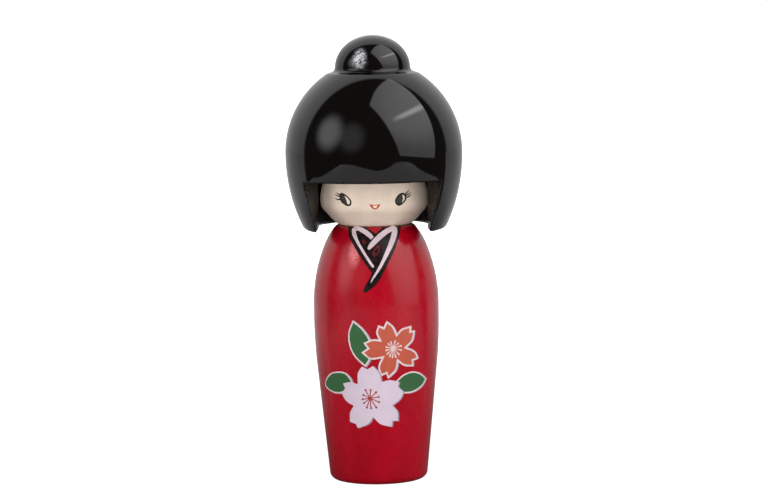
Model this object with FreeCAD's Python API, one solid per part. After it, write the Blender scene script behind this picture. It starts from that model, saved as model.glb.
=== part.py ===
"""Kokeshi doll: a turned wooden figure whose head turns on a peg.

Units are millimetres. The origin is the centre of the base, +Z is up, and the doll faces -Y.
Every piece is turned about the Z axis. The flower transfers are thin skins on the body's front.
"""

import FreeCAD, Part

import math
import os

# ---- driving dimensions -------------------------------------------------------------------

# body
BELLY_R = 21.08            # widest radius of the body
BELLY_LOW = 55.3           # height where the belly starts to narrow downward
BELLY_HIGH = 59.5          # height where the belly starts to close toward the shoulder
LOWER_ARC_R = 161.0        # radius of the long curve under the belly
TAPER_DEG = 5.75           # half angle of the straight cone below that curve
BASE_ROUND_R = 2.4         # rounding between the cone and the flat base
UPPER_ARC_R = 53.0         # radius of the curve above the belly
SHOULDER_START = 80.0      # height where the tighter shoulder curve takes over
SHOULDER_ARC_R = 22.0
BODY_TOP = 86.3

# head
SEAM = 0.2                 # gap between the body's top and the head, so that the head can turn
CHIN_R = 12.4              # radius of the head's flat underside
CHEEK_R = 18.3             # widest radius of the head
CHEEK_Z = 94.5             # height of that widest place
JAW_ARC_R = 5.0            # curve between the cheek and the straight 45 degree flank
BROW_ARC_R = 16.7          # curve from the cheek up to the plug
PLUG_R = 15.5              # plug that fills the seat in the hair
PLUG_TOP = 119.5
PLUG_CHAMFER = 1.0

# hair
HAIR_R = 29.75             # widest radius of the dome
HAIR_Z = 110.5             # height of that widest place
CROWN_ARC_R = 31.7         # curve from the widest place up to the bun
SIDE_ARC_R = 59.5          # curve from the widest place down to the rim
RIM_Z = 84.6
RIM_OUTER_ROUND = 1.3
RIM_INNER_ROUND = 0.7
BORE_R = 19.2              # bore that hangs around the head like a bob
BORE_TOP = 104.2
SEAT_TOP = 120.0           # blind end of the seat for the head's plug
CREASE_R = 15.4            # where the dome meets the lacquer fillet under the bun
BUN_SEAT_R = 12.75
BUN_SEAT_Z = 138.4
FILLET_MIDDLE = (13.7, 137.6)
RIM_LEVEL_Y = -12.0        # behind this the rim climbs toward the nape
RIM_SLOPE = 0.037

# window cut in the front of the hair, seen from above: each side wall runs from an edge in the
# bore, (x, y), outward to the front, where it is wider under the fringe than at the rim
FRINGE_Z = 101.9
WINDOW_INNER = {"left": (-18.8, -3.9), "right": (17.6, -7.6)}
WINDOW_FRONT_Y = -32.0
WINDOW_TOP_X = {"left": -28.6, "right": 27.4}
WINDOW_RIM_X = {"left": -20.2, "right": 19.0}
WINDOW_EDGE_ROUND = 0.5

# bun
BUN_R = 12.65
BUN_HEIGHT = 11.0          # from the bun's widest place to its top
BUN_SIDE_ARC_R = 10.2      # curve of the bun's side, which the flatter top arc meets
BUN_FOOT_ROUND = 0.3
BUN_EQUATOR = BUN_SEAT_Z + BUN_FOOT_ROUND

# pegs
NECK_PEG_R = 4.0
NECK_PEG_LOW = 68.5
NECK_PEG_HIGH = 96.5
NECK_RUNNING_GAP = 0.05    # radial clearance of the peg in the body, so that the head turns
PEG_END_GAP = 0.7
CROWN_PEG_R = 3.0
CROWN_PEG_LOW = 112.0
CROWN_PEG_HIGH = 144.0
PEG_CHAMFER = 0.5

# flower transfers: positions are (along the girth, height), angles are from +X toward +Z
TRANSFER_SKIN = 0.15
GIRTH_R = 20.0             # mean radius of the body behind the flowers
TRANSFER_DEPTH = (-5.0, -26.0)
WHITE_CENTRE = (-2.4, 29.6)
WHITE_ANGLE = 21.3
WHITE_SIZE = 11.2
CORAL_CENTRE = (5.6, 46.3)
CORAL_ANGLE = 30.0
CORAL_SIZE = 9.9
PETALS = 5
# a petal, as shares of the blossom's size: two petals meet at the valley, and one side of a
# petal bows out through (along, across) points to one of the two lobes beside its notch
PETAL_VALLEY = 0.6
PETAL_SIDE = ((0.68, 0.375), (0.87, 0.29), (0.985, 0.16))
PETAL_NOTCH = 0.89
# leaves: base, tip, and how far each edge bows to the left and right of the line between them
LEAF_UPPER = ((-3.2, 40.3), (-7.8, 56.0), 4.0, 4.0)
LEAF_LEFT = ((-7.0, 35.6), (-21.4, 33.3), 3.6, 3.6)
LEAF_RIGHT = ((6.0, 34.0), (19.5, 35.2), 3.7, 3.7)


# ---- helpers ------------------------------------------------------------------------------

AXIS = FreeCAD.Vector(0, 0, 1)
ORIGIN = FreeCAD.Vector(0, 0, 0)


def at(radius, height):
    """A point of a turning profile."""
    return FreeCAD.Vector(radius, 0, height)


def polar(centre, radius, degrees):
    """The point of a circle in the profile's plane, at an angle from outward toward up."""
    turn = math.radians(degrees)
    return at(centre[0] + radius * math.cos(turn), centre[1] + radius * math.sin(turn))


def arc(centre, radius, start_deg, end_deg):
    """A circular edge of a profile."""
    stops = (start_deg, (start_deg + end_deg) / 2, end_deg)
    return Part.Arc(*[polar(centre, radius, stop) for stop in stops]).toShape()


def chain(pieces):
    """A closed outline of edges. A point in the list is joined to its neighbours by lines."""
    ends = []
    for piece in pieces:
        if isinstance(piece, FreeCAD.Vector):
            ends.append((piece, piece))
        else:
            ends.append((piece.valueAt(piece.FirstParameter), piece.valueAt(piece.LastParameter)))
    edges = []
    for index, piece in enumerate(pieces):
        if not isinstance(piece, FreeCAD.Vector):
            edges.append(piece)
        finish = ends[index][1]
        start = ends[(index + 1) % len(pieces)][0]
        if finish.distanceToPoint(start) > 1e-6:
            edges.append(Part.makeLine(finish, start))
    return Part.Wire(Part.__sortEdges__(edges))


def turned(pieces):
    """A solid turned about the Z axis from a closed outline."""
    return Part.Face(chain(pieces)).revolve(ORIGIN, AXIS, 360)


def rod(radius, low, high, chamfer=0.0):
    """A dowel or a bore on the Z axis."""
    if chamfer == 0:
        return turned([at(0, low), at(radius, low), at(radius, high), at(0, high)])
    outline = [at(0, low), at(radius - chamfer, low), at(radius, low + chamfer)]
    outline += [at(radius, high - chamfer), at(radius - chamfer, high), at(0, high)]
    return turned(outline)


# ---- body ---------------------------------------------------------------------------------

def body_outline(skin=0.0):
    """The body's outline, or the one that lies a skin's thickness outside it."""
    taper = math.radians(TAPER_DEG)
    lower_centre = (BELLY_R - LOWER_ARC_R, BELLY_LOW)
    upper_centre = (BELLY_R - UPPER_ARC_R, BELLY_HIGH)
    upper_deg = math.degrees(math.asin((SHOULDER_START - BELLY_HIGH) / UPPER_ARC_R))
    step = UPPER_ARC_R - SHOULDER_ARC_R
    shoulder_centre = (upper_centre[0] + step * math.cos(math.radians(upper_deg)),
                       upper_centre[1] + step * math.sin(math.radians(upper_deg)))
    shoulder_r = SHOULDER_ARC_R + skin
    top_deg = math.degrees(math.asin((BODY_TOP - shoulder_centre[1]) / shoulder_r))
    # the cone is the line radius * cos - height * sin = cone, which the base rounding touches
    cone_start = polar(lower_centre, LOWER_ARC_R, -TAPER_DEG)
    cone = cone_start.x * math.cos(taper) - cone_start.z * math.sin(taper)
    round_r = (cone - BASE_ROUND_R + BASE_ROUND_R * math.sin(taper)) / math.cos(taper)
    round_centre = (round_r, BASE_ROUND_R)
    return [
        at(0, -skin),
        arc(round_centre, BASE_ROUND_R + skin, -90, -TAPER_DEG),
        arc(lower_centre, LOWER_ARC_R + skin, -TAPER_DEG, 0),
        arc(upper_centre, UPPER_ARC_R + skin, 0, upper_deg),
        arc(shoulder_centre, shoulder_r, upper_deg, top_deg),
        at(0, BODY_TOP),
    ]


def body():
    solid = turned(body_outline())
    return solid.cut(rod(NECK_PEG_R + NECK_RUNNING_GAP, NECK_PEG_LOW - PEG_END_GAP, BODY_TOP + 1))


# ---- head ---------------------------------------------------------------------------------

def head():
    jaw_centre = (CHEEK_R - JAW_ARC_R, CHEEK_Z)
    brow_centre = (CHEEK_R - BROW_ARC_R, CHEEK_Z)
    brow_deg = math.degrees(math.acos((PLUG_R - brow_centre[0]) / BROW_ARC_R))
    chin_z = BODY_TOP + SEAM
    solid = turned([
        at(0, chin_z),
        at(CHIN_R, chin_z),
        arc(jaw_centre, JAW_ARC_R, -45, 0),
        arc(brow_centre, BROW_ARC_R, 0, brow_deg),
        at(PLUG_R, PLUG_TOP - PLUG_CHAMFER),
        at(PLUG_R - PLUG_CHAMFER, PLUG_TOP),
        at(0, PLUG_TOP),
    ])
    solid = solid.cut(rod(NECK_PEG_R, chin_z - 1, NECK_PEG_HIGH))
    return solid.cut(rod(CROWN_PEG_R, CROWN_PEG_LOW, PLUG_TOP + 1))


# ---- hair ---------------------------------------------------------------------------------

def hair_dome():
    """The hair before the window is cut: a thick bell with a stepped bore."""
    crown_centre = (HAIR_R - CROWN_ARC_R, HAIR_Z)
    side_centre = (HAIR_R - SIDE_ARC_R, HAIR_Z)
    crease_deg = math.degrees(math.acos((CREASE_R - crown_centre[0]) / CROWN_ARC_R))
    crease = polar(crown_centre, CROWN_ARC_R, crease_deg)
    seat_edge = at(BUN_SEAT_R, BUN_SEAT_Z)
    # the outer rounding of the rim touches the rim's plane and the side curve from inside
    reach = SIDE_ARC_R - RIM_OUTER_ROUND
    drop = HAIR_Z - (RIM_Z + RIM_OUTER_ROUND)
    outer_round = (side_centre[0] + math.sqrt(reach**2 - drop**2), RIM_Z + RIM_OUTER_ROUND)
    side_deg = -math.degrees(math.asin(drop / reach))
    inner_round = (BORE_R + RIM_INNER_ROUND, RIM_Z + RIM_INNER_ROUND)
    return turned([
        arc(inner_round, RIM_INNER_ROUND, 180, 270),
        arc(outer_round, RIM_OUTER_ROUND, -90, side_deg),
        arc(side_centre, SIDE_ARC_R, side_deg, 0),
        arc(crown_centre, CROWN_ARC_R, 0, crease_deg),
        Part.Arc(crease, at(*FILLET_MIDDLE), seat_edge).toShape(),
        at(CROWN_PEG_R, BUN_SEAT_Z),
        at(CROWN_PEG_R, SEAT_TOP),
        at(PLUG_R, SEAT_TOP),
        at(PLUG_R, BORE_TOP),
        at(BORE_R, BORE_TOP),
    ])


def below_rim():
    """What the sloping rim leaves out under the back of the hair."""
    back, deep = 40.0, 10.0
    corners = [(RIM_LEVEL_Y, RIM_Z), (back, RIM_Z + (back - RIM_LEVEL_Y) * RIM_SLOPE),
               (back, RIM_Z - deep), (RIM_LEVEL_Y, RIM_Z - deep)]
    points = [FreeCAD.Vector(-back, y, z) for y, z in corners]
    return Part.Face(Part.makePolygon(points + points[:1])).extrude(FreeCAD.Vector(2 * back, 0, 0))


def window_section(front_x, height):
    """The window's outline seen from above, at one height."""
    corners = [(*WINDOW_INNER["left"], height), (*WINDOW_INNER["right"], height),
               (front_x["right"], WINDOW_FRONT_Y, height), (front_x["left"], WINDOW_FRONT_Y, height)]
    points = [FreeCAD.Vector(*corner) for corner in corners]
    return Part.makePolygon(points + points[:1])


def hair_shell():
    """The hair with the window for the face, its cut edges slightly rounded."""
    below = 6.0
    # the side walls are ruled surfaces, carried on below the rim so that they cut it through
    share = (FRINGE_Z - (RIM_Z - below)) / (FRINGE_Z - RIM_Z)
    low_x = {side: WINDOW_TOP_X[side] + (WINDOW_RIM_X[side] - WINDOW_TOP_X[side]) * share
             for side in WINDOW_TOP_X}
    cutter = Part.makeLoft([window_section(WINDOW_TOP_X, FRINGE_Z),
                            window_section(low_x, RIM_Z - below)], True, True)
    solid = hair_dome().cut(cutter).cut(below_rim())
    fringe = [edge for edge in solid.Edges if is_fringe_edge(edge)]
    return solid.makeFillet(WINDOW_EDGE_ROUND, fringe)


def is_fringe_edge(edge):
    """True for the arc where the dome's outside meets the flat underside of the fringe."""
    box = edge.BoundBox
    level = abs(box.ZMin - FRINGE_Z) < 1e-3 and abs(box.ZMax - FRINGE_Z) < 1e-3
    return level and box.YMin < -BORE_R - 2


# ---- bun and pegs -------------------------------------------------------------------------

def bun():
    """A low rounded cap with a small foot, standing on the dome's crown."""
    inset = BUN_R - BUN_SIDE_ARC_R
    # the top arc is centred on the axis and touches the side arc
    top_r = (inset**2 + BUN_HEIGHT**2 - BUN_SIDE_ARC_R**2) / (2 * (BUN_HEIGHT - BUN_SIDE_ARC_R))
    top_centre = (0, BUN_EQUATOR + BUN_HEIGHT - top_r)
    joint_deg = math.degrees(math.atan2(top_r - BUN_HEIGHT, inset))
    solid = turned([
        at(0, BUN_SEAT_Z),
        arc((BUN_R - BUN_FOOT_ROUND, BUN_EQUATOR), BUN_FOOT_ROUND, -90, 0),
        arc((inset, BUN_EQUATOR), BUN_SIDE_ARC_R, 0, joint_deg),
        arc(top_centre, top_r, joint_deg, 90),
    ])
    return solid.cut(rod(CROWN_PEG_R, BUN_SEAT_Z - 1, CROWN_PEG_HIGH))


def neck_peg():
    return rod(NECK_PEG_R, NECK_PEG_LOW, NECK_PEG_HIGH, PEG_CHAMFER)


def crown_peg():
    return rod(CROWN_PEG_R, CROWN_PEG_LOW, CROWN_PEG_HIGH, PEG_CHAMFER)


# ---- flower transfers ---------------------------------------------------------------------

def on_body(girth, height):
    """A point of the flat artwork, wrapped round the body and seen from the front."""
    return FreeCAD.Vector(GIRTH_R * math.sin(girth / GIRTH_R), TRANSFER_DEPTH[0], height)


def curve(points):
    """A smooth edge through the points."""
    spline = Part.BSplineCurve()
    spline.interpolate(points)
    return spline.toShape()


def blossom_wire(centre, size, first_deg):
    """Five notched petals in one closed outline."""
    def place(share, degrees):
        turn = math.radians(degrees)
        return on_body(centre[0] + size * share * math.cos(turn), centre[1] + size * share * math.sin(turn))

    def side(petal_deg, sign):
        """One side of a petal, from the valley's end toward the lobe."""
        return [place(math.hypot(along, across), petal_deg + sign * math.degrees(math.atan2(across, along)))
                for along, across in PETAL_SIDE]

    step = 360 / PETALS
    valleys = [place(PETAL_VALLEY, first_deg + (index - 0.5) * step) for index in range(PETALS)]
    edges = []
    for index in range(PETALS):
        petal_deg = first_deg + index * step
        near = [valleys[index]] + side(petal_deg, -1)
        far = [valleys[(index + 1) % PETALS]] + side(petal_deg, 1)
        notch = place(PETAL_NOTCH, petal_deg)
        edges += [curve(near), Part.makeLine(near[-1], notch), Part.makeLine(notch, far[-1]), curve(far)]
    return Part.Wire(Part.__sortEdges__(edges))


def leaf_wire(base, tip, left, right):
    """A pointed leaf between two bowed edges."""
    length = math.dist(base, tip)
    across = (-(tip[1] - base[1]) / length, (tip[0] - base[0]) / length)
    middle = ((base[0] + tip[0]) / 2, (base[1] + tip[1]) / 2)
    edges = []
    for bow in (left, -right):
        side = on_body(middle[0] + bow * across[0], middle[1] + bow * across[1])
        edges.append(Part.Arc(on_body(*base), side, on_body(*tip)).toShape())
    return Part.Wire(Part.__sortEdges__(edges))


def prism(wire):
    """The outline carried forward through the body's front."""
    return Part.Face(wire).extrude(FreeCAD.Vector(0, TRANSFER_DEPTH[1] - TRANSFER_DEPTH[0], 0))


def transfers():
    """The five printed pieces, each a skin on the body. Blossoms lie in front of the leaves."""
    skin = turned(body_outline(TRANSFER_SKIN)).cut(turned(body_outline()))
    white = prism(blossom_wire(WHITE_CENTRE, WHITE_SIZE, WHITE_ANGLE))
    coral = prism(blossom_wire(CORAL_CENTRE, CORAL_SIZE, CORAL_ANGLE)).cut(white)
    pieces = {"transfer_white_blossom": white, "transfer_coral_blossom": coral}
    for place, leaf in (("upper", LEAF_UPPER), ("left", LEAF_LEFT), ("right", LEAF_RIGHT)):
        pieces["transfer_leaf_" + place] = prism(leaf_wire(*leaf)).cut(white).cut(coral)
    return {name: skin.common(shape) for name, shape in pieces.items()}


# ---- write the pieces ---------------------------------------------------------------------

def main():
    nodes = {
        "body": body(),
        "neck_peg": neck_peg(),
        "head": head(),
        "hair_shell": hair_shell(),
        "bun": bun(),
        "crown_peg": crown_peg(),
    }
    nodes.update(transfers())
    os.makedirs("parts", exist_ok=True)
    for name, shape in nodes.items():
        shape.exportStep("parts/" + name + ".step")
        print(name, "solids", len(shape.Solids), "valid", shape.isValid(), "mm3", round(shape.Volume, 1))


main()
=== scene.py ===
"""Kokeshi doll: the painted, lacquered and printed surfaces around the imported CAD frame.

Shapes are written in millimetres and turned into metres when a mesh is made. Places on the doll
are (girth, height): girth is measured along the surface, from the middle of the front toward +X.
"""

import bisect
import functools
import math
import random

import bmesh
import bpy
from mathutils import Matrix, Vector
from mathutils.geometry import delaunay_2d_cdt


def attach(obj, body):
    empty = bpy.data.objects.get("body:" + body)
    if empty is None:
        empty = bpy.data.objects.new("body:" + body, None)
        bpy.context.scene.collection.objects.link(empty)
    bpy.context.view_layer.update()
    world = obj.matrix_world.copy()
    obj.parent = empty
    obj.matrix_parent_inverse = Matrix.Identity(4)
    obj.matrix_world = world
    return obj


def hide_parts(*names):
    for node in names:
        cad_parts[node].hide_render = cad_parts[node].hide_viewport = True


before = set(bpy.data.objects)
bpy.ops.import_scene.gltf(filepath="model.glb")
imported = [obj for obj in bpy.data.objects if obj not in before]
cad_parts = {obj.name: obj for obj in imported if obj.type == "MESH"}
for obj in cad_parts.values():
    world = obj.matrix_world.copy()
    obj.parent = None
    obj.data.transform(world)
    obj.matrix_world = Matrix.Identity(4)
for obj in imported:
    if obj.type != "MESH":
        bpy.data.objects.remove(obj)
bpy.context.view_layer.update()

MM = 0.001
ROUND = 384                # segments of a turned surface

# ---- turned shapes, in millimetres, as in the CAD model -------------------------------------

BELLY_R, BELLY_LOW, BELLY_HIGH = 21.08, 55.3, 59.5
LOWER_ARC_R, TAPER_DEG, BASE_ROUND_R = 161.0, 5.75, 2.4
UPPER_ARC_R, SHOULDER_START, SHOULDER_ARC_R, BODY_TOP = 53.0, 80.0, 22.0, 86.3
BODY_TOP_ROUND = 0.25
BORE_FLOOR, NECK_BORE_R, NECK_BORE_TOP = 67.8, 4.05, 96.5

CHIN_Z, CHIN_R, CHIN_ROUND = 86.5, 12.4, 0.35
CHEEK_R, CHEEK_Z, JAW_ARC_R, BROW_ARC_R = 18.3, 94.5, 5.0, 16.7
PLUG_R, PLUG_TOP, PLUG_CHAMFER, CROWN_BORE_R, CROWN_BORE_LOW = 15.5, 119.5, 1.0, 3.0, 112.0

HAIR_R, HAIR_Z, CROWN_ARC_R, SIDE_ARC_R, RIM_Z = 29.75, 110.5, 31.7, 59.5, 84.6
RIM_LEVEL_Y, RIM_SLOPE = -12.0, 0.037
RIM_ROUND, RIM_ROUND_HEIGHT = {"outer": 1.3, "wall": 0.9, "bore": 0.7}, 1.15
BORE_R, BORE_TOP, SEAT_TOP, CREASE_R, BUN_SEAT_R, BUN_SEAT_Z = 19.2, 104.2, 120.0, 15.4, 12.75, 138.4
LACQUER_FILLET = ((13.7, 137.6), (12.95, 138.2), (12.72, 138.9))    # flare of lacquer up the bun's foot
FRINGE_Z, FRINGE_ROUND, BORE_EDGE_ROUND = 101.9, 0.5, 0.3
WINDOW_INNER = {"left": (-18.8, -3.9), "right": (17.6, -7.6)}
WINDOW_TOP = {"left": (-28.6, -32.0), "right": (27.4, -32.0)}
WINDOW_RIM = {"left": (-20.2, -32.0), "right": (19.0, -32.0)}

BUN_R, BUN_HEIGHT, BUN_SIDE_ARC_R, BUN_FOOT_ROUND, BUN_BORE_TOP = 12.65, 11.0, 10.2, 0.3, 144.0
NECK_PEG_R = 4.0


# ---- small geometry helpers ------------------------------------------------------------------

def polar(centre, degrees, radius):
    """A point round a centre. Degrees are from rightward or outward toward up."""
    turn = math.radians(degrees)
    return (centre[0] + radius * math.cos(turn), centre[1] + radius * math.sin(turn))


def arc(centre, radius, start_deg, end_deg, steps):
    """Points of an arc of a profile, both ends included."""
    return [polar(centre, start_deg + (end_deg - start_deg) * i / steps, radius) for i in range(steps + 1)]


def line(start, end, steps):
    """Points between two places, both ends included."""
    return [tuple(a + (b - a) * i / steps for a, b in zip(start, end)) for i in range(steps + 1)]


def joined(*runs):
    """One list of points from runs that share their ends."""
    points = []
    for run in runs:
        for point in run:
            if not points or math.dist(points[-1], point) > 1e-6:
                points.append(point)
    return points


def spin(radius, theta, height):
    """A point at an angle from the front (-Y) toward +X."""
    return (radius * math.sin(theta), -radius * math.cos(theta), height)


class Turning:
    """The outside of a turned piece, as (radius, height) points from the bottom up."""

    def __init__(self, points):
        self.points = points
        self.heights = [height for radius, height in points]

    def at(self, height):
        """The radius at a height, and the outward normal's radial and upward parts."""
        index = min(max(bisect.bisect_right(self.heights, height), 1), len(self.points) - 1)
        (r0, z0), (r1, z1) = self.points[index - 1], self.points[index]
        radius = r0 + (r1 - r0) * (height - z0) / (z1 - z0)
        length = math.hypot(r1 - r0, z1 - z0)
        return radius, (z1 - z0) / length, (r0 - r1) / length

    def place(self, girth, height, lift):
        """The point at (girth, height), lifted off the surface."""
        radius, outward, upward = self.at(height)
        return spin(radius + lift * outward, girth / radius, height + lift * upward)


def body_outside():
    taper = math.radians(TAPER_DEG)
    lower_centre = (BELLY_R - LOWER_ARC_R, BELLY_LOW)
    upper_centre = (BELLY_R - UPPER_ARC_R, BELLY_HIGH)
    upper_deg = math.degrees(math.asin((SHOULDER_START - BELLY_HIGH) / UPPER_ARC_R))
    shoulder_centre = polar(upper_centre, upper_deg, UPPER_ARC_R - SHOULDER_ARC_R)
    top_deg = math.degrees(math.asin((BODY_TOP - shoulder_centre[1]) / SHOULDER_ARC_R))
    cone_start = polar(lower_centre, -TAPER_DEG, LOWER_ARC_R)
    cone = cone_start[0] * math.cos(taper) - cone_start[1] * math.sin(taper)
    round_r = (cone - BASE_ROUND_R + BASE_ROUND_R * math.sin(taper)) / math.cos(taper)
    base = arc((round_r, BASE_ROUND_R), BASE_ROUND_R, -90, -TAPER_DEG, 12)
    lower = arc(lower_centre, LOWER_ARC_R, -TAPER_DEG, 0, 30)
    upper = arc(upper_centre, UPPER_ARC_R, 0, upper_deg, 24)
    shoulder = arc(shoulder_centre, SHOULDER_ARC_R, upper_deg, top_deg, 18)
    return joined(base, line(base[-1], lower[0], 30), lower, line(lower[-1], upper[0], 4), upper, shoulder)


def head_outside():
    jaw_centre = (CHEEK_R - JAW_ARC_R, CHEEK_Z)
    brow_centre = (CHEEK_R - BROW_ARC_R, CHEEK_Z)
    brow_deg = math.degrees(math.acos((PLUG_R - brow_centre[0]) / BROW_ARC_R))
    jaw = arc(jaw_centre, JAW_ARC_R, -45, 0, 16)
    brow = arc(brow_centre, BROW_ARC_R, 0, brow_deg, 20)
    chin = [(CHIN_R, CHIN_Z), (CHIN_R + 0.25, CHIN_Z + 0.1)]
    return joined(chin, line(chin[-1], jaw[0], 8), jaw, brow)


BODY = Turning(body_outside())
HEAD = Turning(head_outside())


def spline(t, a, b, c, d):
    """The value at a share t of the way from b to c, on a Catmull-Rom curve through all four."""
    return 0.5 * (2 * b + (c - a) * t + (2 * a - 5 * b + 4 * c - d) * t * t + (3 * b - a - 3 * c + d) * t**3)


def smooth(points, steps):
    """A smooth run through the points, with its ends kept."""
    if len(points) < 3:
        return [tuple(point) for point in points]
    ends = [tuple(2 * a - b for a, b in zip(points[0], points[1]))]
    ends.append(tuple(2 * a - b for a, b in zip(points[-1], points[-2])))
    knots = [ends[0]] + [tuple(point) for point in points] + [ends[1]]
    result = [knots[1]]
    for four in zip(knots, knots[1:], knots[2:], knots[3:]):
        for step in range(1, steps + 1):
            result.append(tuple(spline(step / steps, *values) for values in zip(*four)))
    return result


def closed_smooth(points, steps):
    """A smooth closed outline through the points."""
    run = smooth([points[-1], *points, *points[:2]], steps)
    return run[steps:steps * (len(points) + 1)]


# ---- mesh helpers ----------------------------------------------------------------------------

SHARP_DEG = 40.0           # edges that turn by more than this stay sharp
FOOT = 0.03                # how far a painted film reaches into the surface under it
CELL = 0.75                # spacing of the points inside a film on the body


def make_piece(name, verts, faces, material, body, slot, node=None):
    """A mesh object from points in millimetres, riding on a body."""
    mesh = bpy.data.meshes.new(name)
    mesh.from_pydata([Vector(point) * MM for point in verts], [], faces)
    mesh.validate()
    work = bmesh.new()
    work.from_mesh(mesh)
    bmesh.ops.remove_doubles(work, verts=work.verts, dist=1e-8)
    for face in work.faces:
        face.smooth = True
    for edge in work.edges:
        edge.smooth = edge.calc_face_angle(0.0) < math.radians(SHARP_DEG)
    work.to_mesh(mesh)
    work.free()
    mesh.materials.append(material)
    piece = bpy.data.objects.new(name, mesh)
    bpy.context.scene.collection.objects.link(piece)
    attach(piece, body)
    if node:
        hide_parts(node)
    return piece


def quads(row_a, row_b):
    """Faces between two rows of vertex numbers."""
    return [(a0, a1, b1, b0) for a0, a1, b1, b0 in zip(row_a, row_a[1:], row_b[1:], row_b)]


def lathe(profile):
    """Verts and faces of a closed profile turned about Z. It starts and ends on the axis."""
    verts, faces, rings = [], [], []
    for radius, height in profile:
        first = len(verts)
        if radius < 1e-6:
            verts.append((0.0, 0.0, height))
            rings.append([first] * (ROUND + 1))
        else:
            verts += [spin(radius, math.tau * i / ROUND, height) for i in range(ROUND)]
            rings.append([first + i % ROUND for i in range(ROUND + 1)])
    for low, high in zip(rings, rings[1:]):
        for face in quads(low, high):
            corners = list(dict.fromkeys(face))
            if len(corners) > 2:
                faces.append(corners)
    return verts, faces


def inside(point, outline):
    """True inside a closed outline."""
    x, y = point
    hit = False
    for (x0, y0), (x1, y1) in zip(outline, outline[1:] + outline[:1]):
        if (y0 > y) != (y1 > y) and x < x0 + (x1 - x0) * (y - y0) / (y1 - y0):
            hit = not hit
    return hit


def film_mesh(outline, surface, lift, cell=CELL):
    """A thin closed skin over the outline, its top lifted off the surface and its foot sunk in it."""
    near = cell * 0.45
    spread = []
    low = [min(point[axis] for point in outline) for axis in (0, 1)]
    high = [max(point[axis] for point in outline) for axis in (0, 1)]
    for row in range(int((high[1] - low[1]) / cell) + 1):
        for column in range(int((high[0] - low[0]) / cell) + 2):
            point = (low[0] + (column + 0.5 * (row % 2)) * cell, low[1] + (row + 0.5) * cell)
            if inside(point, outline) and min(math.dist(point, edge) for edge in outline) > near:
                spread.append(point)
    flat = [Vector(point) for point in list(outline) + spread]
    loop = list(range(len(outline)))
    points, _, triangles, _, _, _ = delaunay_2d_cdt(flat, [], [loop], 1, 1e-5)
    count = len(points)
    verts = [surface.place(p.x, p.y, depth) for depth in (lift, -FOOT) for p in points]
    faces, border = [], {}
    for face in triangles:
        a, b, c = (points[i] for i in face)
        if (b - a).cross(c - a) < 0:
            face = face[::-1]
        faces.append(tuple(face))
        faces.append(tuple(count + i for i in reversed(face)))
        for start, end in zip(face, list(face[1:]) + [face[0]]):
            border[(start, end)] = border.get((start, end), 0) + 1
    for start, end in border:
        if (end, start) not in border:
            faces.append((start, start + count, end + count, end))
    return verts, faces


def ribbon_mesh(path, surface, lift, closed=False):
    """A painted stroke: a thin closed strip along (girth, height, width) points, mitred at corners."""
    count = len(path)
    rows = []
    for index, (girth, height, width) in enumerate(path):
        before = path[index - 1] if index or closed else None
        after = path[(index + 1) % count] if index < count - 1 or closed else None
        here = Vector((girth, height))
        ahead = (Vector(after[:2]) - here).normalized() if after else None
        behind = (here - Vector(before[:2])).normalized() if before else None
        ahead = ahead or behind
        behind = behind or ahead
        along = ahead + behind
        along = along.normalized() if along.length > 1e-6 else ahead
        side = Vector((-along.y, along.x))
        stretch = 1 / max(side.dot(Vector((-ahead.y, ahead.x))), 0.45)
        reach = side * (width / 2 * stretch)
        rows.append((here + reach, here - reach))
    verts = []
    for left, right in rows:
        for point, depth in ((left, lift), (right, lift), (right, -FOOT), (left, -FOOT)):
            verts.append(surface.place(point.x, point.y, depth))
    faces = []
    for index in range(count if closed else count - 1):
        a, b = index * 4, (index + 1) % count * 4
        faces += [(a + 1, b + 1, b, a), (a + 2, b + 2, b + 1, a + 1)]
        faces += [(a + 3, b + 3, b + 2, a + 2), (a, b, b + 3, a + 3)]
    if not closed:
        last = (count - 1) * 4
        faces += [(0, 3, 2, 1), (last + 1, last + 2, last + 3, last)]
    return verts, faces


def merged(*meshes):
    """Several meshes as one list of verts and faces."""
    verts, faces = [], []
    for more_verts, more_faces in meshes:
        faces += [tuple(i + len(verts) for i in face) for face in more_faces]
        verts += more_verts
    return verts, faces


# ---- the hair: a thick bell with a window cut in its front -----------------------------------

BACK_COLUMNS, FRONT_COLUMNS, WALL_LEVELS, RIM_LEVELS, WALL_STEPS = 300, 104, 34, 6, 8
CUT_WAVE = 0.24            # how far the hand-cut edge of a lock wanders
CUT_ROUGH = 0.09           # unevenness of the cut faces
RIM_WAVE = 0.16            # unevenness of the lacquer pooled under the rim


def hair_outside():
    crown_centre = (HAIR_R - CROWN_ARC_R, HAIR_Z)
    side_centre = (HAIR_R - SIDE_ARC_R, HAIR_Z)
    crease_deg = math.degrees(math.acos((CREASE_R - crown_centre[0]) / CROWN_ARC_R))
    rim_deg = -math.degrees(math.asin((HAIR_Z - RIM_Z) / SIDE_ARC_R))
    side = arc(side_centre, SIDE_ARC_R, rim_deg, 0, 56)
    return joined(side, arc(crown_centre, CROWN_ARC_R, 0, crease_deg, 64))


HAIR = Turning(hair_outside())


def waves(seed, count, longest):
    """A smooth wandering value between about -1 and 1, the same in every run."""
    dice = random.Random(seed)
    parts = [(dice.uniform(0.4, 1.0) * longest, dice.uniform(0, math.tau)) for _ in range(count)]
    parts = [(length / (index + 1), phase) for index, (length, phase) in enumerate(parts)]
    return lambda place: sum(math.sin(math.tau * place / length + phase) for length, phase in parts) / count


def bend(start, corner, finish, steps):
    """Points of a rounding that starts and ends on the lines to its corner."""
    halves = zip(line(start, corner, steps), line(corner, finish, steps))
    return [tuple(a + (b - a) * i / steps for a, b in zip(early, late))
            for i, (early, late) in enumerate(halves)]


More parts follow.
